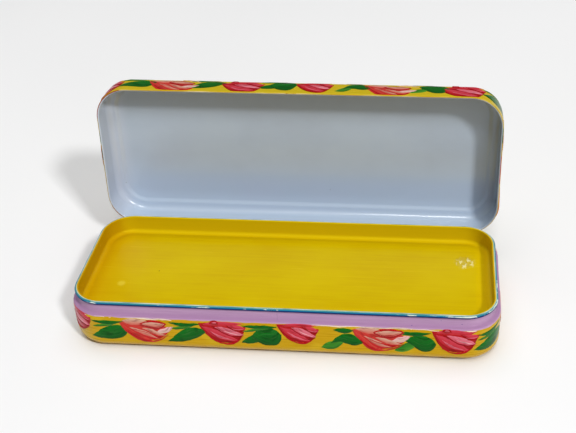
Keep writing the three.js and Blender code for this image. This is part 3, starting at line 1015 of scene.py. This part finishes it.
def painted_bouquet(name, material, seed):
    """A loose spray of roses over the outside of the lid."""
    rng = random.Random(seed)
    picture = Picture(LidTop())
    for side in (-1, 1):
        for ring, away in enumerate(SPRAY_LEAF_DISTANCES):
            scale = 1.25 - 0.12 * ring
            for sign in (-1, 1):
                across, up = side * away, sign * (13.0 - 3.0 * ring)
                lean = math.atan2(up, across) + rng.uniform(-0.3, 0.3)
                leaf = LEAVES[(ring + sign) % len(LEAVES)]
                picture.motif(placing(across, up, scale, lean, rng.random() * 9), leaf)
    for across, up, scale, rose in SPRAY_ROSES:
        lean = rng.uniform(-0.5, 0.5)
        picture.motif(placing(across, up, scale, lean, rng.random() * 9), rose)
    return picture.write(name, material, OPEN_LID)


# Painted highlights, cream glints along the shoulder's round: where each starts and ends round the
# base, and its half width.
THIN_GLINT, THICK_GLINT = 0.3, 0.5
GLINT_HEIGHT = SHOULDER_ROUND_Z + 0.2
SHOULDER_GLINTS = (
    (-91.0, -89.6, THICK_GLINT),
    (-86.0, -81.0, THIN_GLINT),
    (-78.6, -77.6, THIN_GLINT),
    (-72.0, -60.0, THIN_GLINT),
    (-66.0, -56.0, THICK_GLINT),
    (14.0, 40.0, THICK_GLINT),
    (36.0, 62.0, THICK_GLINT),
    (60.0, 72.0, THIN_GLINT),
    (84.0, 89.0, THICK_GLINT),
    (140.0, 168.0, THIN_GLINT),
)


def shoulder_glints(name, surface, material):
    """Painted highlights: cream strokes standing for glints of light along the shoulder's round."""
    picture = Picture(surface)
    for index, (start, end, width) in enumerate(SHOULDER_GLINTS):
        low, high = GLINT_HEIGHT - width, GLINT_HEIGHT + width
        first, last = (start, GLINT_HEIGHT), (end, GLINT_HEIGHT)
        glint_pad = pad(first, [(start, low), (end, low)], [(start, high), (end, high)], last, IVORY, CREAM)
        picture.motif(placing(0, 0, seed=index), [glint_pad])
    return picture.write(name, material, UNMOVED)


# ---- assembling the object ----------------------------------------------------------------------


def carry(piece, body, node=None):
    """Hangs a piece on its CAD body, and stands it in for a node if one is given."""
    if node:
        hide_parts(node)
    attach(piece, body)


def build_shells():
    base_materials = [outer_enamel(), neck_paint(), bead_paint(), inside_lacquer()]
    tray_materials = [inside_lacquer(), lip_paint(), tray_enamel()]
    lid_materials = [inside_lacquer(), hem_paint(), outer_enamel()]
    base = pressed_shell("base_finish", body_plan, base_profile(), base_materials, UNMOVED)
    tray = pressed_shell("tray_finish", body_plan, tray_profile(), tray_materials, UNMOVED)
    lid = pressed_shell("lid_finish", lid_plan, lid_profile(), lid_materials, OPEN_LID)
    carry(base, "base", "base_shell")
    carry(tray, "tray", "inner_tray")
    carry(lid, "lid", "lid_shell")


def paint_decoration():
    paint = stroke_paint()
    bottom_round = (BOTTOM_ROUND_Z, BOTTOM_FILLET, -1)
    shoulder_round = (SHOULDER_ROUND_Z, SHOULDER_ROUND, 1)
    base_wall = Band(body_plan, (bottom_round, shoulder_round), SHOULDER_Z, -1)
    lid_wall = Band(lid_plan, ((LID_ROUND_Z, LID_FILLET, 1),), LID_EDGE_Z + HEM_RADIUS, 1)
    base_garland = painted_band(
        "base_garland", base_wall, BASE_ROSE_HEIGHT, BASE_LEAF_HEIGHT, paint, UNMOVED, 11
    )
    lid_garland = painted_band(
        "lid_garland", lid_wall, LID_ROSE_HEIGHT, LID_LEAF_HEIGHT, paint, OPEN_LID, 23
    )
    carry(base_garland, "base")
    # painted highlights along the shoulder's round
    carry(shoulder_glints("shoulder_glints", base_wall, paint), "base")
    carry(lid_garland, "lid")
    carry(painted_bouquet("lid_bouquet", paint, 5), "lid")


EASED_EDGE = 0.08
EASED_ANGLE = math.radians(40)  # edges sharper than this are eased


def finish_hinges():
    """The stamped hinges keep their CAD meshes, with eased edges and a worn metal finish."""
    metal = tinplate()
    for name, node in frame["nodes"].items():
        if not name.startswith("hinge_"):
            continue
        node.data.materials.clear()
        node.data.materials.append(metal)
        eased = node.modifiers.new("eased_edges", "BEVEL")
        eased.width = EASED_EDGE * MM
        eased.segments = 2
        eased.limit_method = "ANGLE"
        eased.angle_limit = EASED_ANGLE


# ---- studio -------------------------------------------------------------------------------------


# In metres and watts; a light's direction is from the object.
FLOOR_REACH, FLOOR_GAP = 30.0, 0.0002
LIGHT_DISTANCE = 4.8
LIGHTS = (  # name, direction, size, power
    ("key", (0.77, -0.91, 1.10), 0.5, 126.0),
    ("overhead", (0.1, -0.87, 1.50), 1.0, 60.0),
    ("ceiling", (0.0, 0.1, 1.0), 4.8, 136.0),
)
BACKDROP_LIGHT = 0.06  # how strongly the pale backdrop lights the object
BACKDROP_SEEN = 0.95  # how bright it looks to the camera


def studio_floor():
    s = Shader("studio_floor")
    place = s.node("ShaderNodeTexCoord").outputs["Object"]
    cloud = s.noise(s.scaled(place, (3.0, 3.0, 3.0)), detail=2.0)
    shade = s.ramp(cloud, [(0.4, (0.86, 0.86, 0.86, 1.0)), (0.6, (0.88, 0.88, 0.88, 1.0))])
    material = s.set(Base_Color=shade, Roughness=0.6)
    mesh = bpy.data.meshes.new("studio_floor")
    corners = [(-1, -1), (1, -1), (1, 1), (-1, 1)]
    spots = [(x * FLOOR_REACH, y * FLOOR_REACH, -FLOOR_GAP) for x, y in corners]
    mesh.from_pydata(spots, [], [(0, 1, 2, 3)])
    mesh.materials.append(material)
    floor = bpy.data.objects.new("studio_floor", mesh)
    bpy.context.scene.collection.objects.link(floor)


def soft_light(name, direction, size, power):
    """A square area light in a direction from the object, facing it."""
    lamp = bpy.data.lights.new(name, "AREA")
    lamp.shape = "SQUARE"
    lamp.size = size
    lamp.energy = power
    holder = bpy.data.objects.new(name, lamp)
    toward = Vector(direction).normalized()
    holder.location = toward * LIGHT_DISTANCE
    holder.rotation_euler = toward.to_track_quat("Z", "Y").to_euler()
    bpy.context.scene.collection.objects.link(holder)


def studio():
    studio_floor()
    for light in LIGHTS:
        soft_light(*light)
    world = bpy.data.worlds.new("studio_world")
    world.use_nodes = True
    tree = world.node_tree
    background = tree.nodes["Background"]
    background.inputs["Color"].default_value = (0.96, 0.98, 1.0, 1.0)
    path = tree.nodes.new("ShaderNodeLightPath")
    level = tree.nodes.new("ShaderNodeMapRange")
    level.inputs["To Min"].default_value = BACKDROP_LIGHT
    level.inputs["To Max"].default_value = BACKDROP_SEEN
    tree.links.new(path.outputs["Is Camera Ray"], level.inputs["Value"])
    tree.links.new(level.outputs["Result"], background.inputs["Strength"])
    scene = bpy.context.scene
    scene.world = world
    scene.view_settings.view_transform = "Standard"


def camera():
    """The camera that sees the case from in front and above, set a little to its right."""
    lens = bpy.data.cameras.new("camera")
    lens.lens = 63.35
    lens.sensor_width = 36.0
    lens.shift_x = -0.1142
    lens.clip_end = 200.0
    holder = bpy.data.objects.new("camera", lens)
    holder.location = (0.06596, -0.38393, 0.31775)
    holder.rotation_euler = [math.radians(angle) for angle in (55.62, 0.908, 4.552)]
    bpy.context.scene.collection.objects.link(holder)
    bpy.context.scene.camera = holder


build_shells()
paint_decoration()
finish_hinges()
studio()
camera()

bpy.context.view_layer.update()
